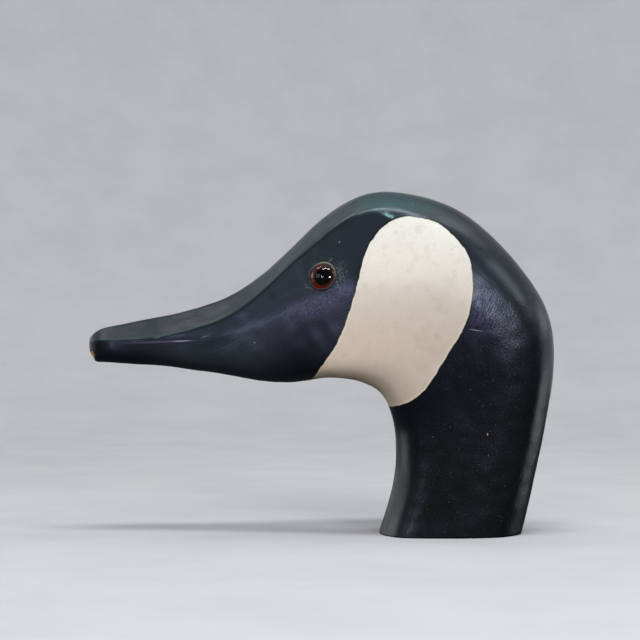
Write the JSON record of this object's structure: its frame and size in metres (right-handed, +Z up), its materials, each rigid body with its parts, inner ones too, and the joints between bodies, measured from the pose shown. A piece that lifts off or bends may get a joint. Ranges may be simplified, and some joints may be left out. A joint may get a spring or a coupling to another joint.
{
  "type": "carved goose decoy head",
  "caption": "Hand-carved and painted wooden goose decoy head and neck with a slim bill, white cheek patches and domed glass eyes, cut flat below to stand on its own.",
  "frame": {"origin": "middle of the flat cut under the neck, on which the head stands", "axes": "+Z up, square to the cut; -Y towards the tip of the bill; +X towards the bird's left side, the one with the eye and cheek patch that the picture shows"},
  "size_m": [0.0512, 0.1857, 0.1361],
  "materials": {
    "painted_wood": "satin",
    "brown_glass": "polished"
  },
  "bodies": {
    "root": {"head_and_neck": "painted_wood", "eye_left": "brown_glass", "eye_right": "brown_glass"}
  },
  "joints": []
}
